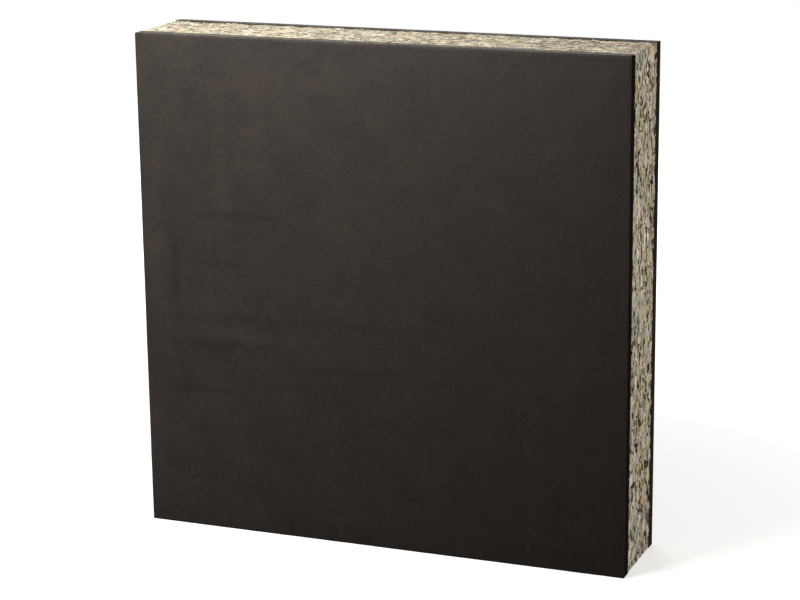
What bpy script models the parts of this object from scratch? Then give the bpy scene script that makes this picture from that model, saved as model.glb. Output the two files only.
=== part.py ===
"""Wall punch pad: a square pad for punching practice that hangs flat on a wall.

Three layers are glued face to face: a closed-cell foam face that takes the blows,
a thick core of bonded foam chips, and a stiff black board. Two steel keyhole plates
are let into the back of the board, so the pad drops onto two screws in the wall.

Units are metres and +Z is up. The struck face looks along -Y and the board's back
lies on the wall, along +Y. The origin is the centre of the pad's bottom side.
"""

import math

import bmesh
import bpy
from mathutils import Matrix

OBJECT_NAME = "wall_punch_pad"

# The whole pad
PAD_WIDTH = 0.500
PAD_HEIGHT = 0.500
PAD_DEPTH = 0.100

# Touching pieces are kept this far apart, and each glue film has that gap on both sides.
CLEARANCE = 0.0003

# Layers, from the struck face to the wall
FACE_THICKNESS = 0.015
BOARD_THICKNESS = 0.012
FILM_THICKNESS = 0.0004
FILM_INSET = 0.003
GLUE_LINE = FILM_THICKNESS + 2 * CLEARANCE
FACE_EDGE_RADIUS = 0.0012
CORE_EDGE_RADIUS = 0.0006
BOARD_EDGE_RADIUS = 0.0008

FRONT_Y = -PAD_DEPTH / 2
BACK_Y = PAD_DEPTH / 2
FACE_BACK_Y = FRONT_Y + FACE_THICKNESS
CORE_FRONT_Y = FACE_BACK_Y + GLUE_LINE
BOARD_FRONT_Y = BACK_Y - BOARD_THICKNESS
CORE_BACK_Y = BOARD_FRONT_Y - GLUE_LINE

# Keyhole hangers: the wall screw's head goes in at the round entry and the pad
# then drops, so that the screw's shank runs up the slot.
HANGER_SPACING = 0.300
HANGER_HEIGHT = 0.420
ENTRY_DIAMETER = 0.010
SLOT_WIDTH = 0.005
HANGER_DROP = 0.012
PLATE_LENGTH = 0.060
PLATE_WIDTH = 0.022
PLATE_THICKNESS = 0.002
PLATE_EDGE_RADIUS = 0.0003
RECESS_DEPTH = PLATE_THICKNESS + CLEARANCE
POCKET_LENGTH = 0.030
POCKET_WIDTH = 0.014
POCKET_DEPTH = 0.006

# Countersunk wood screws that hold the plates
SCREW_SPACING = 0.048
SCREW_LENGTH = 0.010
SCREW_HEAD_RADIUS = 0.0035
THREAD_CREST_RADIUS = 0.00175
THREAD_ROOT_RADIUS = 0.00125
THREAD_PITCH = 0.0012
SCREW_TIP_LENGTH = 0.003
SCREW_SETBACK = 0.0001
DRIVE_BLADE_WIDTH = 0.0008
DRIVE_BLADE_LENGTH = 0.0036
DRIVE_DEPTH = 0.0013
SCREW_HOLE_RADIUS = THREAD_CREST_RADIUS + CLEARANCE
COUNTERSINK_RADIUS = SCREW_HEAD_RADIUS + CLEARANCE
PILOT_HOLE_LENGTH = SCREW_SETBACK + SCREW_LENGTH + CLEARANCE

# How far a cutter stands out of the face that it starts from
CUTTER_OVERRUN = 0.002

ROUND_SEGMENTS = 32
SCREW_SEGMENTS = 24

# A cylinder is made along Z; this lays it along Y, with its +Z end at +Y.
LAID_ALONG_Y = Matrix.Rotation(math.radians(-90), 4, "X")


def clear_scene():
    for old_object in list(bpy.data.objects):
        bpy.data.objects.remove(old_object)


def new_collection(name):
    collection = bpy.data.collections.new(name)
    bpy.context.scene.collection.children.link(collection)
    return collection


def new_material(name, colour, roughness, metallic=0.0):
    material = bpy.data.materials.new(name)
    material.use_nodes = True
    shader = material.node_tree.nodes["Principled BSDF"]
    shader.inputs["Base Color"].default_value = (*colour, 1.0)
    shader.inputs["Roughness"].default_value = roughness
    shader.inputs["Metallic"].default_value = metallic
    material.diffuse_color = (*colour, 1.0)
    return material


def new_object(name, shape, collection, material=None):
    """Turns a finished bmesh into an object of its own."""
    mesh = bpy.data.meshes.new(name)
    shape.to_mesh(mesh)
    shape.free()
    made = bpy.data.objects.new(name, mesh)
    collection.objects.link(made)
    if material is not None:
        mesh.materials.append(material)
    return made


def box_shape(width, depth, height):
    shape = bmesh.new()
    bmesh.ops.create_cube(shape, size=1.0)
    bmesh.ops.scale(shape, vec=(width, depth, height), verts=shape.verts)
    return shape


def round_shape(inner_radius, outer_radius, depth):
    """A cylinder or cone along Y, whose outer radius is at its +Y end."""
    shape = bmesh.new()
    bmesh.ops.create_cone(
        shape,
        cap_ends=True,
        segments=ROUND_SEGMENTS,
        radius1=inner_radius,
        radius2=outer_radius,
        depth=depth,
        matrix=LAID_ALONG_Y,
    )
    return shape


def half_round_bar_shape(length, width, depth):
    """A flat bar with half-round ends: length along Z, width along X, depth along Y."""
    shape = bmesh.new()
    for side in (-1, 1):
        end = Matrix.Translation((0, 0, side * (length - width) / 2))
        bmesh.ops.create_cone(
            shape,
            segments=ROUND_SEGMENTS,
            radius1=width / 2,
            radius2=width / 2,
            depth=depth,
            matrix=end @ LAID_ALONG_Y,
        )
    bmesh.ops.delete(shape, geom=shape.edges[:], context="EDGES_FACES")
    bmesh.ops.convex_hull(shape, input=shape.verts)
    inside = [vertex for vertex in shape.verts if not vertex.link_faces]
    bmesh.ops.delete(shape, geom=inside, context="VERTS")
    bmesh.ops.dissolve_limit(
        shape,
        angle_limit=math.radians(1),
        verts=shape.verts,
        edges=shape.edges,
    )
    bmesh.ops.recalc_face_normals(shape, faces=shape.faces)
    return shape


def round_edges(piece, radius, segments=3):
    bevel = piece.modifiers.new("rounded edges", "BEVEL")
    bevel.width = radius
    bevel.segments = segments
    bevel.limit_method = "ANGLE"
    bevel.angle_limit = math.radians(40)


def smooth_round_sides(piece):
    piece.data.shade_smooth()
    piece.data.set_sharp_from_angle(angle=math.radians(35))


def cut(piece, cutter):
    """Takes the cutter's shape out of the piece."""
    cutter.hide_render = True
    cutter.display_type = "WIRE"
    boolean = piece.modifiers.new("cut " + cutter.name, "BOOLEAN")
    boolean.operation = "DIFFERENCE"
    boolean.object = cutter


def make_layer(name, front_y, back_y, inset, material, collection):
    """A slab of the pad's width and height, drawn in all round by the inset."""
    shape = box_shape(
        PAD_WIDTH - 2 * inset,
        back_y - front_y,
        PAD_HEIGHT - 2 * inset,
    )
    layer = new_object(name, shape, collection, material)
    layer.location = (0, (front_y + back_y) / 2, PAD_HEIGHT / 2)
    return layer


def make_layers(materials, collection):
    """The three layers and the two glue films between them. Returns the board."""
    face = make_layer("face_sheet", FRONT_Y, FACE_BACK_Y, 0, materials["face_foam"], collection)
    round_edges(face, FACE_EDGE_RADIUS)

    core = make_layer("foam_core", CORE_FRONT_Y, CORE_BACK_Y, 0, materials["chip_foam"], collection)
    round_edges(core, CORE_EDGE_RADIUS)

    for name, behind_y in (("face_glue_film", FACE_BACK_Y), ("back_glue_film", CORE_BACK_Y)):
        film_front_y = behind_y + CLEARANCE
        film_back_y = film_front_y + FILM_THICKNESS
        make_layer(name, film_front_y, film_back_y, FILM_INSET, materials["glue"], collection)

    board = make_layer("back_board", BOARD_FRONT_Y, BACK_Y, 0, materials["black_board"], collection)
    round_edges(board, BOARD_EDGE_RADIUS)
    return board


def place(thing, parent, y=0.0, z=0.0):
    """Puts a thing on its hanger, y inwards from the wall being negative."""
    thing.parent = parent
    thing.location = (0, y, z)


def cut_board_for_hanger(board, side_name, hanger, cutters):
    """The plate's recess and, below it, the pocket that the wall screw's head moves in."""
    recess = half_round_bar_shape(
        PLATE_LENGTH + 2 * CLEARANCE,
        PLATE_WIDTH + 2 * CLEARANCE,
        RECESS_DEPTH + CUTTER_OVERRUN,
    )
    recess_cutter = new_object(side_name + "_recess_cutter", recess, cutters)
    place(recess_cutter, hanger, y=(CUTTER_OVERRUN - RECESS_DEPTH) / 2)
    cut(board, recess_cutter)

    pocket = half_round_bar_shape(
        POCKET_LENGTH,
        POCKET_WIDTH,
        RECESS_DEPTH + POCKET_DEPTH + CUTTER_OVERRUN,
    )
    pocket_cutter = new_object(side_name + "_pocket_cutter", pocket, cutters)
    place(pocket_cutter, hanger, y=(CUTTER_OVERRUN - RECESS_DEPTH - POCKET_DEPTH) / 2)
    cut(board, pocket_cutter)


def make_keyhole_plate(side_name, hanger, material, collection, cutters):
    """A flat steel plate, flush with the board's back, with its keyhole in the middle."""
    shape = half_round_bar_shape(PLATE_LENGTH, PLATE_WIDTH, PLATE_THICKNESS)
    plate = new_object(side_name + "_keyhole_plate", shape, collection, material)
    place(plate, hanger, y=-PLATE_THICKNESS / 2)
    round_edges(plate, PLATE_EDGE_RADIUS, segments=2)

    through = PLATE_THICKNESS + 2 * CUTTER_OVERRUN
    entry = round_shape(ENTRY_DIAMETER / 2, ENTRY_DIAMETER / 2, through)
    entry_cutter = new_object(side_name + "_entry_cutter", entry, cutters)
    place(entry_cutter, hanger, y=-PLATE_THICKNESS / 2, z=-HANGER_DROP / 2)
    cut(plate, entry_cutter)

    slot = half_round_bar_shape(HANGER_DROP + SLOT_WIDTH, SLOT_WIDTH, through)
    slot_cutter = new_object(side_name + "_slot_cutter", slot, cutters)
    place(slot_cutter, hanger, y=-PLATE_THICKNESS / 2)
    cut(plate, slot_cutter)
    return plate


def cut_screw_hole(board, plate, hole_name, hanger, z, cutters):
    """A pilot hole in the board and a countersunk hole in the plate over it."""
    pilot = round_shape(SCREW_HOLE_RADIUS, SCREW_HOLE_RADIUS, PILOT_HOLE_LENGTH + CUTTER_OVERRUN)
    pilot_cutter = new_object(hole_name + "_pilot_cutter", pilot, cutters)
    place(pilot_cutter, hanger, y=(CUTTER_OVERRUN - PILOT_HOLE_LENGTH) / 2, z=z)
    cut(board, pilot_cutter)
    cut(plate, pilot_cutter)

    # The sink is a full cone whose sides slope at 45 degrees, so it is as deep as its radius.
    sink_depth = COUNTERSINK_RADIUS
    sink = round_shape(0, COUNTERSINK_RADIUS + CUTTER_OVERRUN, sink_depth + CUTTER_OVERRUN)
    sink_cutter = new_object(hole_name + "_countersink_cutter", sink, cutters)
    place(sink_cutter, hanger, y=(CUTTER_OVERRUN - sink_depth) / 2, z=z)
    cut(plate, sink_cutter)


def screw_profile():
    """Half of the screw's outline, as (radius, height), from its head down to its tip.

    The head's underside slopes at 45 degrees, and the thread is a row of rings.
    """
    outline = [(0, 0), (SCREW_HEAD_RADIUS, 0)]
    depth = SCREW_HEAD_RADIUS - THREAD_ROOT_RADIUS
    outline.append((THREAD_ROOT_RADIUS, -depth))
    while depth + THREAD_PITCH < SCREW_LENGTH:
        for radius in (THREAD_CREST_RADIUS, THREAD_ROOT_RADIUS):
            depth += THREAD_PITCH / 2
            taper = min(1.0, (SCREW_LENGTH - depth) / SCREW_TIP_LENGTH)
            outline.append((radius * taper, -depth))
    outline.append((0, -SCREW_LENGTH))
    return outline


def make_screw(name, hanger, z, material, collection, cutters):
    """A countersunk wood screw, its head just below the plate's face."""
    shape = bmesh.new()
    points = [shape.verts.new((radius, 0, height)) for radius, height in screw_profile()]
    for upper, lower in zip(points, points[1:]):
        shape.edges.new((upper, lower))
    screw = new_object(name, shape, collection, material)
    place(screw, hanger, y=-SCREW_SETBACK, z=z)
    screw.rotation_euler = LAID_ALONG_Y.to_euler()

    turning = screw.modifiers.new("turned", "SCREW")
    turning.axis = "Z"
    turning.steps = SCREW_SEGMENTS
    turning.render_steps = SCREW_SEGMENTS
    turning.use_merge_vertices = True
    turning.merge_threshold = 0.00001
    turning.use_smooth_shade = False

    for blade_number, turn in enumerate((0, 90)):
        blade = box_shape(DRIVE_BLADE_LENGTH, DRIVE_BLADE_WIDTH, 2 * DRIVE_DEPTH)
        blade_cutter = new_object(f"{name}_drive_cutter_{blade_number}", blade, cutters)
        blade_cutter.parent = screw
        blade_cutter.rotation_euler = (0, 0, math.radians(turn))
        cut(screw, blade_cutter)


def make_hanger(side_name, side, board, materials, collection, cutters):
    """One keyhole plate in its recess with its two screws."""
    hanger = bpy.data.objects.new(side_name + "_hanger", None)
    collection.objects.link(hanger)
    hanger.location = (side * HANGER_SPACING / 2, BACK_Y, HANGER_HEIGHT)

    cut_board_for_hanger(board, side_name, hanger, cutters)
    plate = make_keyhole_plate(side_name, hanger, materials["zinc_steel"], collection, cutters)
    for place_name, end in (("upper", 1), ("lower", -1)):
        screw_name = f"{side_name}_{place_name}_screw"
        z = end * SCREW_SPACING / 2
        cut_screw_hole(board, plate, screw_name, hanger, z, cutters)
        make_screw(screw_name, hanger, z, materials["screw_steel"], collection, cutters)
    smooth_round_sides(plate)


def build():
    clear_scene()
    parts = new_collection(OBJECT_NAME)
    cutters = new_collection("cutters")
    materials = {
        "face_foam": new_material("face_foam", (0.030, 0.026, 0.023), 0.85),
        "chip_foam": new_material("chip_foam", (0.45, 0.40, 0.30), 0.95),
        "glue": new_material("glue", (0.35, 0.27, 0.14), 0.40),
        "black_board": new_material("black_board", (0.020, 0.019, 0.018), 0.60),
        "zinc_steel": new_material("zinc_steel", (0.62, 0.63, 0.64), 0.35, metallic=1.0),
        "screw_steel": new_material("screw_steel", (0.66, 0.60, 0.42), 0.30, metallic=1.0),
    }
    board = make_layers(materials, parts)
    # Seen from the front, the left hanger is on the -X side.
    for side_name, side in (("left", -1), ("right", 1)):
        make_hanger(side_name, side, board, materials, parts, cutters)


build()
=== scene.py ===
"""Looks of the wall punch pad: foam face sheet, bonded chip core, black board and steel hangers.

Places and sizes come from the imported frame, in metres, with +Z up and the struck face
looking along -Y. Patterns in materials are worked out in millimetres, as foam and wood are
described, so their lengths are in millimetres and the scale of a noise is a number per
millimetre.
"""

import math

import bmesh
import bpy
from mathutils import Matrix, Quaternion, Vector, noise


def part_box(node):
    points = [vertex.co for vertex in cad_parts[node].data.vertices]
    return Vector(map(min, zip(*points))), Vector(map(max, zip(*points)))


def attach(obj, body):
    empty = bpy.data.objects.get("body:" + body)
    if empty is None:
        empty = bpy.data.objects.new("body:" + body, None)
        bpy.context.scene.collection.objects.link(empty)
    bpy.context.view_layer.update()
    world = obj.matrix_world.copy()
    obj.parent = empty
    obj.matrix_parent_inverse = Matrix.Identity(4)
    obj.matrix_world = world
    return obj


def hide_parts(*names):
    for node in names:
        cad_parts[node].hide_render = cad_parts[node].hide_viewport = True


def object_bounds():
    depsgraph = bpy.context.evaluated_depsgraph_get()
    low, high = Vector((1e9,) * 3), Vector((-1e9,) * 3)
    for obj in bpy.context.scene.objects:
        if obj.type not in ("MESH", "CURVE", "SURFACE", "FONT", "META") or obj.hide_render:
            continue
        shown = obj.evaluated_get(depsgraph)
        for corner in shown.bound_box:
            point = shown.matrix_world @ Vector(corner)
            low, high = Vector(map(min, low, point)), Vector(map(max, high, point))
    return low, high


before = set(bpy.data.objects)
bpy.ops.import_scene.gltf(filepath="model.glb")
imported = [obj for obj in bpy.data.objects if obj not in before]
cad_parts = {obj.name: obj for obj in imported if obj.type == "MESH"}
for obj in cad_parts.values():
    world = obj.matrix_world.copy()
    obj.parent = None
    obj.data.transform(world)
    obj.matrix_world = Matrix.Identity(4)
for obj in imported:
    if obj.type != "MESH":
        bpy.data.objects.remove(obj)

MM = 0.001

cad_low, cad_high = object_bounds()
face_low, face_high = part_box("face_sheet")
core_low, core_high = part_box("foam_core")
board_low, board_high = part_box("back_board")

PAD_WIDTH = cad_high.x - cad_low.x
PAD_CENTRE = (cad_low + cad_high) / 2


# ---------------------------------------------------------------- node helpers

# Most of a noise lies between these two values.
NOISE_SPREAD = (0.3, 0.7)


def set_inputs(tree, node, inputs):
    """Gives a node its inputs: a socket is linked, and a plain value is set on the node."""
    for key, value in inputs.items():
        if isinstance(value, bpy.types.NodeSocket):
            tree.links.new(value, node.inputs[key])
        else:
            node.inputs[key].default_value = value


def add_node(tree, kind, inputs=None, **settings):
    made = tree.nodes.new(kind)
    for name, value in settings.items():
        setattr(made, name, value)
    set_inputs(tree, made, inputs or {})
    return made


def calculate(tree, operation, first, second=0.0):
    made = add_node(tree, "ShaderNodeMath", {0: first, 1: second}, operation=operation)
    return made.outputs[0]


def combine(tree, operation, first, second):
    made = add_node(tree, "ShaderNodeVectorMath", {0: first, 1: second}, operation=operation)
    return made.outputs[0]


def scaled(tree, vector, factor):
    made = add_node(tree, "ShaderNodeVectorMath", {0: vector, "Scale": factor}, operation="SCALE")
    return made.outputs[0]


def length_of(tree, vector):
    made = add_node(tree, "ShaderNodeVectorMath", {0: vector}, operation="LENGTH")
    return made.outputs["Value"]


def parts_of(tree, vector):
    return add_node(tree, "ShaderNodeSeparateXYZ", {0: vector}).outputs


def fit_range(tree, value, source, target=(0.0, 1.0), smooth=False):
    """Takes the value from the source range to the target range, and no further."""
    inputs = {"Value": value}
    inputs["From Min"], inputs["From Max"] = source
    inputs["To Min"], inputs["To Max"] = target
    kind = "SMOOTHSTEP" if smooth else "LINEAR"
    return add_node(tree, "ShaderNodeMapRange", inputs, interpolation_type=kind).outputs[0]


def noise_node(tree, place, scale, detail=2.0, roughness=0.5):
    inputs = {"Vector": place, "Scale": scale, "Detail": detail, "Roughness": roughness}
    return add_node(tree, "ShaderNodeTexNoise", inputs)


def noise_value(tree, place, scale, detail=2.0, roughness=0.5):
    return noise_node(tree, place, scale, detail, roughness).outputs[0]


def uneven(tree, place, target, scale, detail=2.0, roughness=0.5, source=NOISE_SPREAD):
    """A noise taken from the source range to the target range. A narrow source range gives
    patches with clear borders."""
    return fit_range(tree, noise_value(tree, place, scale, detail, roughness), source, target)


def wander(tree, place, reach, scale, detail, roughness=0.5):
    """A smooth random shift, up to about half the reach in each direction."""
    colour = noise_node(tree, place, scale, detail, roughness).outputs["Color"]
    return scaled(tree, combine(tree, "ADD", colour, (-0.5, -0.5, -0.5)), reach)


def cells(tree, place, size, feature="F1"):
    inputs = {"Vector": place, "Scale": 1.0 / size, "Randomness": 1.0}
    return add_node(tree, "ShaderNodeTexVoronoi", inputs, feature=feature)


# A Mix node has its own pair of inputs and its own output for each kind of data.


def mix_value(tree, share, first, second):
    inputs = {0: share, 2: first, 3: second}
    return add_node(tree, "ShaderNodeMix", inputs, data_type="FLOAT").outputs[0]


def mix_vector(tree, share, first, second):
    inputs = {0: share, 4: first, 5: second}
    return add_node(tree, "ShaderNodeMix", inputs, data_type="VECTOR").outputs[1]


def mix_colour(tree, share, first, second, blend="MIX"):
    inputs = {0: share, 6: first, 7: second}
    made = add_node(tree, "ShaderNodeMix", inputs, data_type="RGBA", blend_type=blend)
    return made.outputs[2]


def rgba(colour):
    return (*colour, 1.0)


def shaded(tree, colour, shade):
    """The colour made lighter or darker by a number."""
    grey = add_node(tree, "ShaderNodeCombineXYZ", {0: shade, 1: shade, 2: shade}).outputs[0]
    return mix_colour(tree, 1.0, colour, grey, "MULTIPLY")


def palette(tree, pick, shares_and_colours):
    """Picks one flat colour for each pick from 0 to 1; each colour gets its share of picks."""
    made = add_node(tree, "ShaderNodeValToRGB", {0: pick})
    made.color_ramp.interpolation = "CONSTANT"
    stops = made.color_ramp.elements
    stops.remove(stops[1])
    total = sum(share for share, colour in shares_and_colours)
    start = 0.0
    for number, (share, colour) in enumerate(shares_and_colours):
        stop = stops[0] if number == 0 else stops.new(start)
        stop.color = rgba(colour)
        start += share / total
    return made.outputs[0]


def new_material(name):
    """A material, its node tree and its Principled shader."""
    material = bpy.data.materials.new(name)
    material.use_nodes = True
    tree = material.node_tree
    return material, tree, tree.nodes["Principled BSDF"]


def object_place(tree):
    """The place on the object, in millimetres."""
    place = add_node(tree, "ShaderNodeTexCoord").outputs["Object"]
    return scaled(tree, place, 1 / MM)


def upward(tree):
    """How far the surface looks up, from -1 to 1."""
    normal = add_node(tree, "ShaderNodeNewGeometry").outputs["Normal"]
    return parts_of(tree, normal)[2]


def set_bump(tree, shader, height, distance, strength=1.0):
    inputs = {"Height": height, "Distance": distance, "Strength": strength}
    bump = add_node(tree, "ShaderNodeBump", inputs)
    tree.links.new(bump.outputs[0], shader.inputs["Normal"])


# ---------------------------------------------------------------- pieces


def new_piece(name, shape, *materials):
    mesh = bpy.data.meshes.new(name)
    shape.to_mesh(mesh)
    shape.free()
    for material in materials:
        mesh.materials.append(material)
    piece = bpy.data.objects.new(name, mesh)
    bpy.context.scene.collection.objects.link(piece)
    return piece


def apply_modifiers(piece):
    graph = bpy.context.evaluated_depsgraph_get()
    finished = bpy.data.meshes.new_from_object(
        piece.evaluated_get(graph), preserve_all_data_layers=True, depsgraph=graph
    )
    piece.modifiers.clear()
    piece.data = finished


# ---------------------------------------------------------------- core: shape

CORE_GRID = 1.3 * MM
CORE_CORNER_RADIUS = 1.2 * MM
CORE_CORNER_STEPS = 2
CORE_RIM = 2.5 * MM
SEAM_GAP = 0.1 * MM


def square_outline(low, high, radius, spacing):
    """(x, z) points round a square with rounded corners, at an even spacing."""
    corners = (
        (high.x - radius, high.z - radius),
        (low.x + radius, high.z - radius),
        (low.x + radius, low.z + radius),
        (high.x - radius, low.z + radius),
    )
    arcs = []
    for number, (x, z) in enumerate(corners):
        arc = []
        for step in range(CORE_CORNER_STEPS + 1):
            turn = math.radians(90 * (number + step / CORE_CORNER_STEPS))
            arc.append((x + radius * math.cos(turn), z + radius * math.sin(turn)))
        arcs.append(arc)
    outline = []
    for arc, next_arc in zip(arcs, arcs[1:] + arcs[:1]):
        outline += arc
        start = Vector(arc[-1])
        end = Vector(next_arc[0])
        count = round((end - start).length / spacing)
        outline += [tuple(start.lerp(end, step / count)) for step in range(1, count)]
    return outline


def drawn_in(outline, inset):
    """The outline made smaller all round by the inset."""
    heights = [z for x, z in outline]
    middle = (min(heights) + max(heights)) / 2
    shrink = 1 - inset / (max(heights) - middle)
    return [(x * shrink, middle + (z - middle) * shrink) for x, z in outline]


def core_shape():
    """The slab, in rings from front to back. Its rim reaches almost to both sheets, and
    inside the rim its two flat sides lie deeper, which leaves room for the glue films."""
    front_y = face_high.y + SEAM_GAP
    back_y = board_low.y - SEAM_GAP
    count = round((back_y - front_y) / CORE_GRID)
    outline = square_outline(core_low, core_high, CORE_CORNER_RADIUS, CORE_GRID)
    inner = drawn_in(outline, CORE_RIM)
    loops = [(inner, core_low.y), (inner, front_y)]
    first_sawn = len(loops)
    loops += [(outline, front_y + (back_y - front_y) * step / count) for step in range(count + 1)]
    last_sawn = len(loops) - 1
    loops += [(inner, back_y), (inner, core_high.y)]

    shape = bmesh.new()
    rings = [[shape.verts.new((x, y, z)) for x, z in points] for points, y in loops]
    for ring, (front, back) in enumerate(zip(rings, rings[1:])):
        for number in range(len(outline)):
            following = (number + 1) % len(outline)
            side = (front[number], back[number], back[following], front[following])
            shape.faces.new(side).smooth = first_sawn <= ring < last_sawn
    shape.faces.new(rings[0])
    shape.faces.new(reversed(rings[-1]))
    bmesh.ops.recalc_face_normals(shape, faces=shape.faces)
    return shape


# ---------------------------------------------------------------- core: pattern of chips

# The size of the chips in millimetres, and the share of them that are torn up into chips of
# the next size.
CHIP_SIZES = ((10.0, 0.74), (6.8, 0.56), (4.4, 0.0))
# The slab is pressed from front to back, which makes its chips this much flatter.
CHIP_PRESS = 2.1


def chip_pattern(tree, place_mm):
    """The bonded chips at a place in millimetres: three random numbers for its chip, the
    distance to that chip's edge, and how many times it was torn, which gives its size."""
    coarse_bend = wander(tree, place_mm, reach=5.5, scale=0.14, detail=1.0)
    fine_bend = wander(tree, place_mm, reach=2.2, scale=0.60, detail=4.0, roughness=0.6)
    pressed = combine(tree, "MULTIPLY", place_mm, (1.0, CHIP_PRESS, 1.0))
    bent = combine(tree, "ADD", pressed, combine(tree, "ADD", coarse_bend, fine_bend))

    numbers, edge, torn, times_torn = None, None, 1.0, 0.0
    for size, torn_share in CHIP_SIZES:
        chip = cells(tree, bent, size).outputs["Color"]
        chip_edge = cells(tree, bent, size, "DISTANCE_TO_EDGE").outputs["Distance"]
        chip_edge = calculate(tree, "MULTIPLY", chip_edge, size)
        if numbers is None:
            numbers, edge = chip, chip_edge
        else:
            numbers = mix_vector(tree, torn, numbers, chip)
            edge = mix_value(tree, torn, edge, calculate(tree, "MINIMUM", edge, chip_edge))
            times_torn = calculate(tree, "ADD", times_torn, torn)
        is_torn = calculate(tree, "LESS_THAN", parts_of(tree, chip)[0], torn_share)
        torn = calculate(tree, "MULTIPLY", torn, is_torn)
    return parts_of(tree, numbers), edge, times_torn


# ---------------------------------------------------------------- core: relief of chips

CHIP_RELIEF = 0.65 * MM
GROOVE_WIDTH = 0.8
# Parts of the relief: each chip lies lower than the cut by its own step, its edges dip into
# a groove, and its surface is uneven.
CHIP_STEP = (-1.0, 0.0)
CHIP_GROOVE = (-0.7, 0.0)
CHIP_UNEVEN = (-0.6, 0.2)


def is_on_cut(tree, place):
    """1 on the four sawn sides, and 0 on the flat sides under the sheets."""
    x, y, z = parts_of(tree, combine(tree, "SUBTRACT", place, tuple(PAD_CENTRE)))
    reach_x = calculate(tree, "ABSOLUTE", x)
    reach_z = calculate(tree, "ABSOLUTE", z)
    reach = calculate(tree, "MAXIMUM", reach_x, reach_z)
    return calculate(tree, "GREATER_THAN", reach, PAD_WIDTH / 2 - CORE_RIM / 2)


def chip_relief_tree():
    """Geometry nodes that press each chip a little in from the flat cut, along the side's
    own direction across the pad, so that the seams with the sheets stay straight."""
    tree = bpy.data.node_groups.new("chip_relief", "GeometryNodeTree")
    tree.interface.new_socket("Geometry", in_out="INPUT", socket_type="NodeSocketGeometry")
    tree.interface.new_socket("Geometry", in_out="OUTPUT", socket_type="NodeSocketGeometry")
    start = add_node(tree, "NodeGroupInput")
    place = add_node(tree, "GeometryNodeInputPosition").outputs[0]
    normal = add_node(tree, "GeometryNodeInputNormal").outputs[0]

    place_mm = scaled(tree, place, 1 / MM)
    numbers, edge, _ = chip_pattern(tree, place_mm)
    step = fit_range(tree, numbers[2], (0.0, 1.0), CHIP_STEP)
    groove = fit_range(tree, edge, (0.0, GROOVE_WIDTH), CHIP_GROOVE, smooth=True)
    rough = uneven(tree, place_mm, CHIP_UNEVEN, scale=0.30, detail=3.0, roughness=0.6)
    relief = calculate(tree, "ADD", calculate(tree, "ADD", step, groove), rough)
    relief = calculate(tree, "MULTIPLY", relief, CHIP_RELIEF)
    relief = calculate(tree, "MULTIPLY", relief, is_on_cut(tree, place))

    across = combine(tree, "MULTIPLY", normal, (1.0, 0.0, 1.0))
    outward = add_node(tree, "ShaderNodeVectorMath", {0: across}, operation="NORMALIZE").outputs[0]
    offset = scaled(tree, outward, relief)
    moved = add_node(tree, "GeometryNodeSetPosition", {"Geometry": start.outputs[0], "Offset": offset})
    add_node(tree, "NodeGroupOutput", {0: moved.outputs[0]})
    return tree


# ---------------------------------------------------------------- core: look of chips

CREAM = (0.70, 0.63, 0.46)
PALE_CREAM = (0.80, 0.75, 0.61)
STRAW = (0.62, 0.55, 0.37)
WARM_GREY = (0.50, 0.46, 0.37)
COOL_GREY = (0.50, 0.48, 0.44)
LAVENDER = (0.52, 0.45, 0.52)
YELLOW = (0.70, 0.62, 0.29)
OLIVE = (0.42, 0.41, 0.25)
PALE_BLUE = (0.44, 0.54, 0.54)
GREEN = (0.44, 0.54, 0.29)
PINK = (0.72, 0.48, 0.40)
ORANGE = (0.68, 0.40, 0.18)
BROWN = (0.17, 0.12, 0.08)
NEAR_BLACK = (0.020, 0.016, 0.013)
# Dark binder in the joints between chips, with painted shade in the grooves there.
BINDER_AND_SHADE = (0.10, 0.072, 0.048)

# Shares of the colours of the large, middle and small chips.
LARGE_CHIP_COLOURS = (
    (30, CREAM),
    (18, PALE_CREAM),
    (12, STRAW),
    (12, WARM_GREY),
    (7, COOL_GREY),
    (5, LAVENDER),
    (5, YELLOW),
    (5, PALE_BLUE),
    (3, GREEN),
    (3, PINK),
)
MIDDLE_CHIP_COLOURS = (
    (24, CREAM),
    (16, PALE_CREAM),
    (10, STRAW),
    (8, WARM_GREY),
    (4, COOL_GREY),
    (5, LAVENDER),
    (5, YELLOW),
    (3, OLIVE),
    (5, PALE_BLUE),
    (4, GREEN),
    (4, PINK),
    (2, ORANGE),
    (7, BROWN),
    (23, NEAR_BLACK),
)
SMALL_CHIP_COLOURS = (
    (34, NEAR_BLACK),
    (16, BROWN),
    (20, CREAM),
    (14, PALE_CREAM),
    (8, STRAW),
    (5, WARM_GREY),
    (4, OLIVE),
    (4, PALE_BLUE),
    (4, PINK),
    (4, YELLOW),
)

# How upright the surface's normal is where upward sides start to grow paler and where they are fully
# so.
PALER_TOP_SLOPE = (0.6, 0.95)
# How far the chips grow paler, towards pale cream, where the surface looks up.
CHIP_TOP_PALING = (0.0, 0.22)
# The shade of whole chips, which darkens the chips that the relief sets deeper as a painted shade, of
# the clouds in their foam, and the painted shade of its open cells from the middle of a cell to its
# sunken border.
CHIP_TONE_AND_DEPTH_SHADE = (0.74, 1.24)
CHIP_CLOUD = (0.86, 1.12)
CHIP_PIT_PAINTED_SHADE = (1.08, 0.76)
PORE_SIZE = 0.55
# The middle and the border of a cell, as distances that the pattern of cells gives.
PORE_SPREAD = (0.05, 0.75)
JOINT_WIDTH = 0.6
JOINT_PATCH = (0.0, 0.9)
# In the bump, a chip rises over this width from its edge to this share of the fuzz's height.
DOME_WIDTH = 0.9
DOME_HEIGHT = 0.6


def chip_colour(tree, numbers, times_torn):
    """A chip's flat colour, picked from the colours that chips of its size have."""
    colour = palette(tree, numbers[1], LARGE_CHIP_COLOURS)
    for times, colours in enumerate((MIDDLE_CHIP_COLOURS, SMALL_CHIP_COLOURS)):
        is_this_small = calculate(tree, "GREATER_THAN", times_torn, times + 0.5)
        colour = mix_colour(tree, is_this_small, colour, palette(tree, numbers[1], colours))
    return colour


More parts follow.
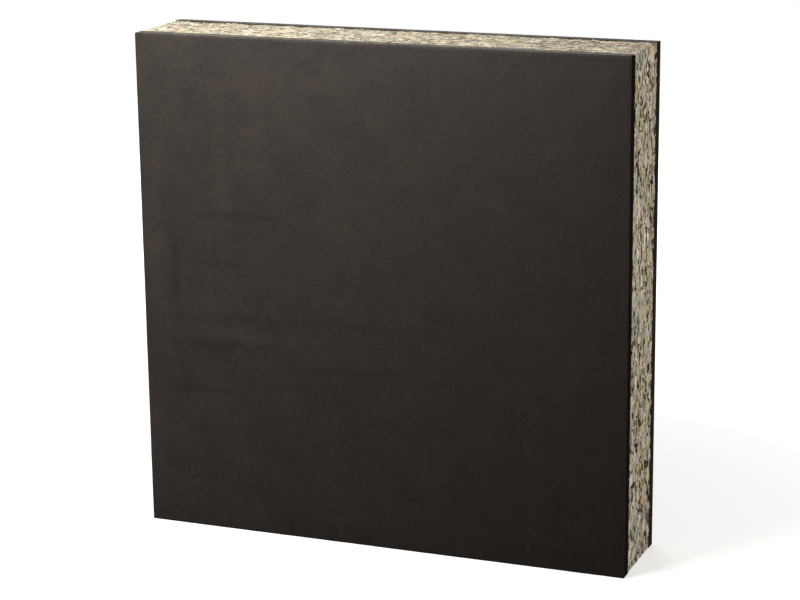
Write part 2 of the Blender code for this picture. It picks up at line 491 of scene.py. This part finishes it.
def chip_shade(tree, numbers, place_mm, pores):
    """Each chip is a little lighter or darker than the next, and painted darker the deeper the relief
    sets it; its foam is uneven inside, with painted shade in the sunken borders of its cells.
    """
    # Chips that the relief sets deeper, by the same number, are darker: painted shade.
    chip_tone_and_shade = fit_range(tree, numbers[2], (0.0, 1.0), CHIP_TONE_AND_DEPTH_SHADE)
    cloud = uneven(tree, place_mm, CHIP_CLOUD, scale=0.35, detail=3.0, roughness=0.6)
    # Painted shade in the sunken borders of the foam's cells.
    pit_painted_shade = fit_range(tree, pores, PORE_SPREAD, CHIP_PIT_PAINTED_SHADE)
    return calculate(tree, "MULTIPLY", calculate(tree, "MULTIPLY", chip_tone_and_shade, cloud), pit_painted_shade)


def joint_share(tree, edge, place_mm):
    """How much binder and shadow shows in the joints between chips, in patches."""
    joint = fit_range(tree, edge, (0.0, JOINT_WIDTH), (1.0, 0.0), smooth=True)
    patch = uneven(tree, place_mm, JOINT_PATCH, scale=0.25, source=(0.42, 0.62))
    return calculate(tree, "MULTIPLY", joint, patch)


def chip_foam_material():
    material, tree, shader = new_material("chip_foam_look")
    # The colours follow the flat cut that the relief was pressed into.
    flat_cut = add_node(tree, "ShaderNodeAttribute", attribute_name="flat_cut").outputs["Vector"]
    place_mm = scaled(tree, flat_cut, 1 / MM)
    numbers, edge, times_torn = chip_pattern(tree, place_mm)
    pores = cells(tree, place_mm, PORE_SIZE).outputs["Distance"]

    colour = chip_colour(tree, numbers, times_torn)
    colour = shaded(tree, colour, chip_shade(tree, numbers, place_mm, pores))
    # Binder, and painted shade, in the joints between chips.
    colour = mix_colour(tree, joint_share(tree, edge, place_mm), colour, rgba(BINDER_AND_SHADE))
    # The chips are paler where the surface looks up.
    upward_paling = fit_range(tree, upward(tree), PALER_TOP_SLOPE, CHIP_TOP_PALING)
    colour = mix_colour(tree, upward_paling, colour, rgba(PALE_CREAM))
    set_inputs(tree, shader, {"Base Color": colour, "Roughness": 0.95, "Specular IOR Level": 0.15})

    fuzz = noise_value(tree, place_mm, scale=1.6, detail=4.0, roughness=0.65)
    dome = fit_range(tree, edge, (0.0, DOME_WIDTH), (0.0, DOME_HEIGHT), smooth=True)
    pits = calculate(tree, "MULTIPLY", pores, -0.5)
    height = calculate(tree, "ADD", calculate(tree, "ADD", dome, fuzz), pits)
    set_bump(tree, shader, height, distance=0.35 * MM, strength=0.9)
    return material


def make_core():
    """The slab of bonded chips, filling the glue lines up to both sheets."""
    core = new_piece("chip_core", core_shape(), chip_foam_material())
    flat_cut = core.data.attributes.new("flat_cut", "FLOAT_VECTOR", "POINT")
    for vertex in core.data.vertices:
        flat_cut.data[vertex.index].vector = vertex.co
    relief = core.modifiers.new("chip relief", "NODES")
    relief.node_group = chip_relief_tree()
    apply_modifiers(core)
    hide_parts("foam_core")
    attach(core, "root")


# ---------------------------------------------------------------- face sheet: shape

FACE_GRID = 2.5 * MM
FACE_EDGE_RADIUS = 1.4 * MM
FACE_EDGE_STEPS = 3
FACE_ROLL_OFF = 0.35 * MM
FACE_ROLL_OFF_WIDTH = 28 * MM

# Waves pressed into the struck surface: depth, and waves in a metre across and up.
FACE_WAVES = (
    (0.20 * MM, 9, 14),
    (0.10 * MM, 30, 45),
)
# The waves' layers in the noise lie this far apart, so that they don't repeat each other.
LAYER_GAP = 5

# Waves along the sawn sides: height, and their share of it and number in a metre.
CUT_WAVE = 0.2 * MM
CUT_WAVES = (
    (1.0, 70),
    (0.5, 260),
)
# A point this close to the sheet's outline lies on a sawn side.
CUT_MARGIN = 0.1 * MM

# Shallow creases across the skin: start and end as places across the pad from its middle
# and up from its bottom, then half width and depth, in metres.
CREASES = (
    ((-0.200, 0.322), (-0.088, 0.325), 2.6 * MM, 0.24 * MM),
    ((-0.180, 0.278), (-0.110, 0.272), 3.0 * MM, 0.08 * MM),
    ((-0.215, 0.219), (0.075, 0.222), 3.0 * MM, 0.22 * MM),
    ((-0.222, 0.191), (-0.100, 0.190), 4.0 * MM, 0.36 * MM),
    ((-0.110, 0.168), (0.120, 0.188), 3.0 * MM, 0.18 * MM),
    ((-0.225, 0.145), (-0.130, 0.142), 3.0 * MM, 0.22 * MM),
)
CREASE_FADE = 30 * MM
# How far a crease strays from its straight line, and how many times in a metre.
CREASE_STRAY = 3 * MM
CREASE_STRAYS = 25


def grid_lines(half, radius, spacing):
    """Places of the grid lines along one axis of a rounded block, closer in its rounded ends."""
    inner = half - radius
    count = max(1, round(2 * inner / spacing))
    middle = [inner * (2 * step / count - 1) for step in range(count + 1)]
    turns = [math.radians(45) * step / FACE_EDGE_STEPS for step in range(1, FACE_EDGE_STEPS + 1)]
    ends = [inner + radius * math.tan(turn) for turn in turns]
    return [-place for place in reversed(ends)] + middle + ends


def pulled_round(place, half, radius):
    """Moves a point on a box's surface onto the same box with rounded edges."""
    inner = Vector(
        max(-half[axis] + radius, min(half[axis] - radius, place[axis])) for axis in range(3)
    )
    out = place - inner
    return inner + out.normalized() * radius


def rounded_block(low, high, radius, spacing):
    """A box with rounded edges, covered in one even grid of quads."""
    centre = (low + high) / 2
    half = (high - low) / 2
    lines = [grid_lines(half[axis], radius, spacing) for axis in range(3)]
    shape = bmesh.new()
    corners = {}

    def corner(index):
        if index not in corners:
            place = Vector(lines[axis][index[axis]] for axis in range(3))
            corners[index] = shape.verts.new(centre + pulled_round(place, half, radius))
        return corners[index]

    for axis in range(3):
        across, along = (axis + 1) % 3, (axis + 2) % 3
        for end in (0, len(lines[axis]) - 1):
            for column in range(len(lines[across]) - 1):
                for row in range(len(lines[along]) - 1):
                    face = []
                    for right, up in ((0, 0), (1, 0), (1, 1), (0, 1)):
                        index = {axis: end, across: column + right, along: row + up}
                        face.append(corner((index[0], index[1], index[2])))
                    if end == 0:
                        face.reverse()
                    shape.faces.new(face)
    return shape


def smooth_step(value):
    value = max(0.0, min(1.0, value))
    return value * value * (3 - 2 * value)


def crease_depth(crease, x, z):
    (start, start_height), (end, end_height), half_width, depth = crease
    height = start_height + (end_height - start_height) * (x - start) / (end - start)
    # Each crease reads its own row of the noise, so that no two stray alike.
    row = start_height * 100
    height += CREASE_STRAY * noise.noise(Vector((x * CREASE_STRAYS, row, 0)))
    across = (z - height) / half_width
    inside = smooth_step((x - start) / CREASE_FADE) * smooth_step((end - x) / CREASE_FADE)
    return depth * inside * math.exp(-across * across)


def face_lift(x, z):
    """How far the struck surface stands out from its plane at a place. It is mostly below
    zero, which keeps the surface inside the CAD sheet."""
    to_edge = min(x - face_low.x, face_high.x - x, z - face_low.z, face_high.z - z)
    lift = -FACE_ROLL_OFF * (1 - smooth_step(to_edge / FACE_ROLL_OFF_WIDTH))
    for number, (height, across, up) in enumerate(FACE_WAVES):
        wave = noise.noise(Vector((x * across, number * LAYER_GAP, z * up)))
        lift += height * (wave - 0.5)
    for crease in CREASES:
        lift -= crease_depth(crease, x, z)
    return lift


def press_and_wave(shape):
    """Presses the struck surface in, and gives the sawn sides slight waves."""
    depth = face_high.y - face_low.y
    for vertex in shape.verts:
        place = vertex.co.copy()
        # 1 on the struck surface, fading to 0 halfway through the sheet.
        in_front = smooth_step((face_high.y - place.y) / depth * 2 - 1)
        vertex.co.y -= in_front * face_lift(place.x, place.z)
        outward = Vector((place.x - PAD_CENTRE.x, 0, place.z - PAD_CENTRE.z))
        on_cut = max(abs(outward.x), abs(outward.z)) > PAD_WIDTH / 2 - CUT_MARGIN
        if on_cut:
            wave = sum(share * noise.noise(place * number) for share, number in CUT_WAVES)
            vertex.co += outward.normalized() * (CUT_WAVE * wave)


# ---------------------------------------------------------------- face sheet: look

SKIN_BLACK = (0.0137, 0.0096, 0.0072)
CUT_BLACK = (0.0055, 0.0041, 0.0029)
# Pale grey of the painted sheen on the sheet's sawn sides where they look up.
TOP_SHEEN_GREY = (0.30, 0.27, 0.21)
SKIN_CLOUD = (-0.34, 0.34)
SKIN_GRAIN = (-0.46, 0.46)
CUT_PORE_SIZE = 0.6
# How strongly the painted sheen shows, in patches, on the sawn sides that look up.
CUT_TOP_SHEEN = (0.13, 0.30)

# Faint marks on the skin, with painted shade and highlights among them: place across and up, half
# width and half height in metres, and how much lighter or darker the skin is there.
MARKS_AND_PAINTED_LIGHT = (
    # smudges and pale spots
    (-0.163, 0.375, 0.014, 0.045, 0.28),
    (-0.055, 0.443, 0.020, 0.011, -0.32),
    (-0.068, 0.477, 0.018, 0.009, -0.28),
    (-0.025, 0.428, 0.007, 0.006, 0.40),
    (0.175, 0.412, 0.010, 0.010, 0.22),
    (0.065, 0.080, 0.011, 0.013, 0.28),
    (-0.190, 0.440, 0.022, 0.030, -0.16),
    (-0.120, 0.455, 0.035, 0.020, 0.14),
    # long streaks down the two edges, paler on the right and with a dark line on the left, a painted
    # highlight along the left edge, and a darker streak along the top
    (0.193, 0.430, 0.005, 0.050, 0.25),
    (0.199, 0.250, 0.006, 0.150, 0.16),
    (-0.215, 0.270, 0.006, 0.060, -0.34),
    (-0.236, 0.300, 0.011, 0.110, 0.18),
    (-0.180, 0.463, 0.055, 0.004, -0.25),
    # painted shade in the creases, and a painted highlight on the ridge between two of them
    (-0.145, 0.323, 0.066, 0.0060, -0.34),
    (-0.150, 0.275, 0.055, 0.0065, -0.18),
    (-0.140, 0.218, 0.090, 0.0080, -0.28),
    (0.015, 0.219, 0.085, 0.0065, -0.22),
    (-0.165, 0.190, 0.068, 0.0095, -0.36),
    (-0.120, 0.204, 0.095, 0.0050, 0.18),
    (0.000, 0.176, 0.120, 0.0070, -0.22),
    (-0.180, 0.144, 0.055, 0.0065, -0.26),
    # two specks
    (-0.141, 0.322, 0.0012, 0.0012, -0.9),
    (0.020, 0.235, 0.0013, 0.0013, -0.9),
)
# A mark fades out between these shares of its half width and height.
MARK_FADE = (0.25, 1.2)
MARK_WANDER = 6.0
# A mark narrower than this is a speck, which keeps its clear outline.
SPECK_SIZE = 2 * MM


def shade_of_marks_and_painted_light(tree, place_mm):
    """How much the faint marks and the painted shade and highlights lighten or darken the skin, from
    -1 to 1.
    """
    shift = wander(tree, place_mm, reach=MARK_WANDER, scale=0.15, detail=4.0, roughness=0.65)
    bent = combine(tree, "ADD", place_mm, shift)
    total = 0.0
    for x, z, half_width, half_height, strength in MARKS_AND_PAINTED_LIGHT:
        is_speck = half_width < SPECK_SIZE
        middle = (-x / MM, 0.0, -z / MM)
        stretch = (MM / half_width, 0.0, MM / half_height)
        away = combine(tree, "ADD", place_mm if is_speck else bent, middle)
        away = combine(tree, "MULTIPLY", away, stretch)
        mark = fit_range(tree, length_of(tree, away), MARK_FADE, (strength, 0.0), smooth=True)
        total = calculate(tree, "ADD", total, mark)
    return total


def skin_material():
    """The moulded skin that is struck: cloudy, finely grained, and smoother where it is paler."""
    material, tree, shader = new_material("foam_skin_look")
    place_mm = object_place(tree)
    cloud = uneven(tree, place_mm, SKIN_CLOUD, scale=0.030, detail=5.0, roughness=0.72)
    grain = uneven(tree, place_mm, SKIN_GRAIN, scale=0.45, detail=4.0, roughness=0.7)
    # Faint marks, with painted shade in the creases and painted highlights on a ridge and by the left
    # edge.
    marks_and_painted_light = calculate(tree, "ADD", shade_of_marks_and_painted_light(tree, place_mm), 1.0)
    shade = calculate(tree, "ADD", calculate(tree, "ADD", cloud, grain), marks_and_painted_light)
    colour = shaded(tree, rgba(SKIN_BLACK), shade)
    rough = fit_range(tree, shade, (0.5, 1.5), (0.62, 0.48))
    set_inputs(tree, shader, {"Base Color": colour, "Roughness": rough, "Specular IOR Level": 0.3})

    dimples = noise_value(tree, place_mm, scale=0.25, detail=5.0, roughness=0.62)
    pores = cells(tree, place_mm, PORE_SIZE).outputs["Distance"]
    pits = calculate(tree, "MULTIPLY", pores, -0.12)
    set_bump(tree, shader, calculate(tree, "ADD", dimples, pits), distance=0.28 * MM)
    return material


def cut_foam_material():
    """The sawn sides of the sheet, with a painted sheen, pale in patches, where they look up."""
    material, tree, shader = new_material("foam_cut_look")
    place_mm = object_place(tree)
    pores = cells(tree, place_mm, CUT_PORE_SIZE).outputs["Distance"]
    along_saw = combine(tree, "MULTIPLY", place_mm, (0.5, 2.0, 0.5))
    streak = noise_value(tree, along_saw, scale=1.0, detail=3.0)
    # Painted shade in the sunken borders of the foam's cells, which the bump sets lowest.
    pit_painted_shade = calculate(tree, "ADD", calculate(tree, "MULTIPLY", pores, -0.8), 0.95)
    colour = shaded(tree, rgba(CUT_BLACK), calculate(tree, "ADD", pit_painted_shade, streak))

    patch = uneven(
        tree, place_mm, CUT_TOP_SHEEN, scale=0.12, detail=5.0, roughness=0.7, source=(0.35, 0.65)
    )
    # Painted sheen, in patches, on the sawn sides that look up.
    upward_paling = calculate(tree, "MULTIPLY", fit_range(tree, upward(tree), PALER_TOP_SLOPE), patch)
    colour = mix_colour(tree, upward_paling, colour, rgba(TOP_SHEEN_GREY))
    rough = fit_range(tree, pores, (0.1, 0.7), (0.45, 0.65))
    set_inputs(tree, shader, {"Base Color": colour, "Roughness": rough, "Specular IOR Level": 0.08})

    pits = calculate(tree, "MULTIPLY", pores, -0.9)
    set_bump(tree, shader, calculate(tree, "ADD", streak, pits), distance=0.30 * MM)
    return material


def make_face_sheet():
    """The sheet that is struck. Its front has the skin material, and all else is sawn."""
    shape = rounded_block(face_low, face_high, FACE_EDGE_RADIUS, FACE_GRID)
    shape.normal_update()
    for face in shape.faces:
        face.smooth = True
        face.material_index = 0 if face.normal.y < -0.5 else 1
    press_and_wave(shape)
    sheet = new_piece("foam_face", shape, skin_material(), cut_foam_material())
    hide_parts("face_sheet")
    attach(sheet, "root")


# ---------------------------------------------------------------- board

BOARD_BLACK = (0.0165, 0.0125, 0.0078)
WORN_BROWN = (0.060, 0.042, 0.028)
RAW_WOOD = (0.42, 0.28, 0.16)
DARK_GRAIN = (0.26, 0.16, 0.085)
BOARD_CLOUD = (0.62, 1.45)
PLY_THICKNESS = 1.33
# A place nearer than this to a flat side or an edge is on it. A place deeper in, and further
# from the edges than the border, is in a recess.
FILM_THICKNESS = 0.3
BORDER_WIDTH = 5.0
# How worn the film is in a scratch, and how strongly its scratches show in scuffed areas.
SCRATCH_WEAR = (0.0, 0.75)
SCUFFED_SHARE = (0.1, 1.0)
BORDER_WEAR = 0.7
WORN_BORDER_WIDTH = 3.0


def distance_to_border(tree, place_mm):
    """How far a place on the board lies from the nearest of its four edges."""
    from_centre = combine(tree, "SUBTRACT", place_mm, tuple(PAD_CENTRE / MM))
    reach = add_node(tree, "ShaderNodeVectorMath", {0: from_centre}, operation="ABSOLUTE").outputs[0]
    across, _, height = parts_of(tree, reach)
    furthest = calculate(tree, "MAXIMUM", across, height)
    return calculate(tree, "SUBTRACT", PAD_WIDTH / 2 / MM, furthest)


def board_wear(tree, place_mm, to_border):
    """How worn the black film is: long scratches in scuffed areas, and a chipped border."""
    slow_shift = scaled(tree, noise_node(tree, place_mm, 0.008, 1.0).outputs["Color"], 60.0)
    bent = combine(tree, "ADD", place_mm, slow_shift)
    along_scratch = combine(tree, "MULTIPLY", bent, (0.5, 1.0, 0.02))
    scratch = uneven(
        tree, along_scratch, SCRATCH_WEAR, scale=1.0, detail=3.0, roughness=0.7, source=(0.58, 0.68)
    )
    scuffed = uneven(tree, place_mm, SCUFFED_SHARE, scale=0.012, detail=3.0, source=(0.42, 0.62))
    scratch = calculate(tree, "MULTIPLY", scratch, scuffed)
    border = fit_range(tree, to_border, (0.0, WORN_BORDER_WIDTH), (1.0, 0.0))
    chipped = uneven(
        tree, place_mm, (0.0, 1.0), scale=0.2, detail=5.0, roughness=0.7, source=(0.48, 0.60)
    )
    chipped = calculate(tree, "MULTIPLY", border, chipped)
    return calculate(tree, "MAXIMUM", scratch, calculate(tree, "MULTIPLY", chipped, BORDER_WEAR))


def ply_shade(tree, place_mm, to_border):
    """Every other ply is darker where plies show through the black on the edges."""
    y = parts_of(tree, place_mm)[1]
    ply = calculate(tree, "FRACT", calculate(tree, "DIVIDE", y, PLY_THICKNESS * 2))
    ply = calculate(tree, "GREATER_THAN", ply, 0.5)
    on_edge = calculate(tree, "LESS_THAN", to_border, FILM_THICKNESS)
    return fit_range(tree, calculate(tree, "MULTIPLY", ply, on_edge), (0.0, 1.0), (1.0, 0.6))


def is_cut_open(tree, place_mm, to_border):
    """1 in the recesses for the hangers, where the wood shows, and 0 elsewhere."""
    y = parts_of(tree, place_mm)[1]
    under_back = calculate(tree, "LESS_THAN", y, board_high.y / MM - FILM_THICKNESS)
    off_front = calculate(tree, "GREATER_THAN", y, board_low.y / MM + FILM_THICKNESS)
    inside = calculate(tree, "GREATER_THAN", to_border, BORDER_WIDTH)
    return calculate(tree, "MULTIPLY", calculate(tree, "MULTIPLY", under_back, off_front), inside)


def board_material():
    """Black film-faced plywood: fibres and scuffs on its back, plies on its edges, and raw
    wood where the recesses for the hangers are cut in."""
    material, tree, shader = new_material("black_board_look")
    place_mm = object_place(tree)
    to_border = distance_to_border(tree, place_mm)
    along_fibre = combine(tree, "MULTIPLY", place_mm, (1.0, 1.0, 0.06))
    fibre = noise_value(tree, along_fibre, scale=1.2, detail=4.0, roughness=0.6)
    cloud = uneven(tree, place_mm, BOARD_CLOUD, scale=0.03, detail=5.0, roughness=0.65)
    worn = board_wear(tree, place_mm, to_border)
    plies = ply_shade(tree, place_mm, to_border)

    colour = shaded(tree, rgba(BOARD_BLACK), cloud)
    colour = mix_colour(tree, worn, colour, rgba(WORN_BROWN))
    colour = shaded(tree, colour, plies)
    grain = fit_range(tree, fibre, (0.35, 0.65))
    raw = mix_colour(tree, grain, rgba(RAW_WOOD), rgba(DARK_GRAIN))
    colour = mix_colour(tree, is_cut_open(tree, place_mm, to_border), colour, raw)
    rough = fit_range(tree, cloud, (0.7, 1.35), (0.66, 0.50))
    set_inputs(tree, shader, {"Base Color": colour, "Roughness": rough, "Specular IOR Level": 0.07})

    ridge = calculate(tree, "ADD", fibre, plies)
    height = calculate(tree, "SUBTRACT", ridge, worn)
    set_bump(tree, shader, height, distance=0.12 * MM, strength=0.8)
    return material


# ---------------------------------------------------------------- glue and steel

DARK_AMBER = (0.42, 0.24, 0.07)
PALE_AMBER = (0.62, 0.42, 0.16)
ZINC = (0.62, 0.63, 0.64)
YELLOW_ZINC = (0.70, 0.60, 0.36)
SPANGLE_SIZE = 2.5
SPANGLE_SHADE = (0.88, 1.08)


def glue_material():
    """Dried contact adhesive, brushed on."""
    material, tree, shader = new_material("glue_look")
    along_brush = combine(tree, "MULTIPLY", object_place(tree), (0.02, 1.0, 0.4))
    stroke = noise_value(tree, along_brush, scale=1.0, detail=4.0, roughness=0.6)
    colour = mix_colour(tree, stroke, rgba(DARK_AMBER), rgba(PALE_AMBER))
    set_inputs(tree, shader, {"Base Color": colour, "Roughness": 0.35})
    set_bump(tree, shader, stroke, distance=0.1 * MM)
    return material


def steel_material(name, colour, roughness):
    """Dull plated steel: spangles in its plating, and fine scratches along its length."""
    material, tree, shader = new_material(name)
    place_mm = object_place(tree)
    spangle = cells(tree, place_mm, SPANGLE_SIZE).outputs["Color"]
    shade = fit_range(tree, parts_of(tree, spangle)[0], (0.0, 1.0), SPANGLE_SHADE)
    plated = shaded(tree, rgba(colour), shade)
    along_scratch = combine(tree, "MULTIPLY", place_mm, (6.0, 6.0, 0.4))
    scratch = noise_value(tree, along_scratch, scale=1.0, detail=3.0, roughness=0.6)
    rough = fit_range(tree, scratch, NOISE_SPREAD, (roughness - 0.06, roughness + 0.08))
    set_inputs(tree, shader, {"Base Color": plated, "Roughness": rough, "Metallic": 0.7})
    set_bump(tree, shader, scratch, distance=0.02 * MM, strength=0.4)
    return material


def dress_node(name, material):
    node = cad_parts[name]
    for slot in node.material_slots:
        slot.material = material


def dress_cad_nodes():
    """Gives the CAD nodes that stay their materials."""
    zinc = steel_material("zinc_steel_look", ZINC, roughness=0.42)
    yellow_zinc = steel_material("screw_steel_look", YELLOW_ZINC, roughness=0.34)
    dress_node("back_board", board_material())
    glue = glue_material()
    dress_node("face_glue_film", glue)
    dress_node("back_glue_film", glue)
    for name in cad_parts:
        if name.endswith("keyhole_plate"):
            dress_node(name, zinc)
        if name.endswith("screw"):
            dress_node(name, yellow_zinc)


# ---------------------------------------------------------------- stage

STAGE_RADIUS = 14.0
FLOOR_DROP = 0.2 * MM
WHITE = (1.0, 1.0, 1.0)
FLOOR_GREY = (0.6, 0.6, 0.6)
BLACK = (0.0, 0.0, 0.0)
# The floor's painted glow, weaker near the pad and full far off, and the reach in millimetres over
# which it grows.
FLOOR_GLOW = (0.60, 0.99)
FLOOR_GLOW_REACH = (250, 1100)


def floor_material():
    """Pale floor with a painted glow, weaker where the pad stands so that its soft shadow shows, and
    full far off.
    """
    material, tree, shader = new_material("floor")
    reach = length_of(tree, object_place(tree))
    # Painted glow, growing with the distance from the pad.
    glow = fit_range(tree, reach, FLOOR_GLOW_REACH, FLOOR_GLOW, smooth=True)
    inputs = {"Base Color": rgba(FLOOR_GREY), "Roughness": 1.0, "Specular IOR Level": 0.0}
    inputs.update({"Emission Color": rgba(WHITE), "Emission Strength": glow})
    set_inputs(tree, shader, inputs)
    return material


def backdrop_material():
    """White from every side, whatever the light."""
    material, tree, shader = new_material("backdrop")
    inputs = {"Base Color": rgba(BLACK), "Specular IOR Level": 0.0}
    inputs.update({"Emission Color": rgba(WHITE), "Emission Strength": 1.0})
    set_inputs(tree, shader, inputs)
    return material


def make_stage():
    """A pale floor, which takes the pad's shadow, and a white dome over it. Both show only to
    the camera and send no light back onto the pad, as when it is cut out on white."""
    floor_shape = bmesh.new()
    bmesh.ops.create_circle(floor_shape, cap_ends=True, segments=64, radius=STAGE_RADIUS)
    floor = new_piece("floor", floor_shape, floor_material())
    floor.location.z = cad_low.z - FLOOR_DROP

    dome_shape = bmesh.new()
    bmesh.ops.create_uvsphere(dome_shape, u_segments=48, v_segments=24, radius=STAGE_RADIUS)
    dome = new_piece("backdrop", dome_shape, backdrop_material())

    for thing in (floor, dome):
        thing.visible_diffuse = False
        thing.visible_glossy = False
    dome.visible_shadow = False


# ---------------------------------------------------------------- light and camera

# Azimuth and elevation in degrees and distance in metres from the pad's middle, then width,
# height and power.
SOFTBOXES = {
    "key": (-28, 41, 0.84, 0.5, 0.5, 11.2),
    "left": (-50, -14, 1.8, 1.2, 1.0, 9.8),
    "right": (80, 8, 2.0, 0.7, 0.7, 23.0),
    "overhead": (172, 84, 1.8, 2.0, 1.5, 2.5),
    "behind": (-150, 50, 2.0, 1.5, 1.0, 9.0),
    "rim": (-155, 14, 2.2, 1.4, 0.8, 6.0),
    "back": (-150, 4, 2.0, 2.0, 1.8, 22.0),
}
WARM_WHITE = (1.0, 0.96, 0.91)
AMBIENT = 0.03

CAMERA_AZIMUTH = 21.5
CAMERA_ELEVATION = 14.7
CAMERA_ROLL = math.radians(-0.63)
CAMERA_DISTANCE = 2.317
CAMERA_LENS = 106.4
CAMERA_AIM = PAD_CENTRE + Vector((0.0048, 0.0, -0.0092))
CAMERA_CLIP = (0.05, 60)


def direction_from(azimuth, elevation):
    """The direction from the pad at an azimuth and elevation in degrees. Azimuth 0 is in
    front of the struck face, and 90 is towards +X."""
    azimuth, elevation = math.radians(azimuth), math.radians(elevation)
    level = math.cos(elevation)
    return Vector((math.sin(azimuth) * level, -math.cos(azimuth) * level, math.sin(elevation)))


def aim(thing, place, target):
    """Puts a light or camera at a place, looking at the target."""
    thing.location = place
    thing.rotation_mode = "QUATERNION"
    thing.rotation_quaternion = (target - place).to_track_quat("-Z", "Y")


def add_softbox(name, place, width, height, power):
    lamp = bpy.data.lights.new(name, "AREA")
    lamp.shape = "RECTANGLE"
    lamp.size = width
    lamp.size_y = height
    lamp.energy = power
    lamp.color = WARM_WHITE
    softbox = bpy.data.objects.new(name, lamp)
    bpy.context.scene.collection.objects.link(softbox)
    aim(softbox, place, PAD_CENTRE)
    softbox.visible_camera = False


def make_light():
    world = bpy.data.worlds.new("studio")
    bpy.context.scene.world = world
    world.use_nodes = True
    background = world.node_tree.nodes["Background"]
    background.inputs["Color"].default_value = rgba(WARM_WHITE)
    background.inputs["Strength"].default_value = AMBIENT
    for name, (azimuth, elevation, distance, width, height, power) in SOFTBOXES.items():
        place = PAD_CENTRE + direction_from(azimuth, elevation) * distance
        add_softbox(name, place, width, height, power)


def make_camera():
    camera = bpy.data.objects.new("camera", bpy.data.cameras.new("camera"))
    bpy.context.scene.collection.objects.link(camera)
    bpy.context.scene.camera = camera
    place = CAMERA_AIM + direction_from(CAMERA_AZIMUTH, CAMERA_ELEVATION) * CAMERA_DISTANCE
    aim(camera, place, CAMERA_AIM)
    camera.rotation_quaternion = camera.rotation_quaternion @ Quaternion((0, 0, 1), CAMERA_ROLL)
    camera.data.lens = CAMERA_LENS
    camera.data.clip_start, camera.data.clip_end = CAMERA_CLIP


make_camera()
make_light()
make_stage()
make_core()
make_face_sheet()
dress_cad_nodes()
bpy.context.scene.view_settings.view_transform = "Standard"
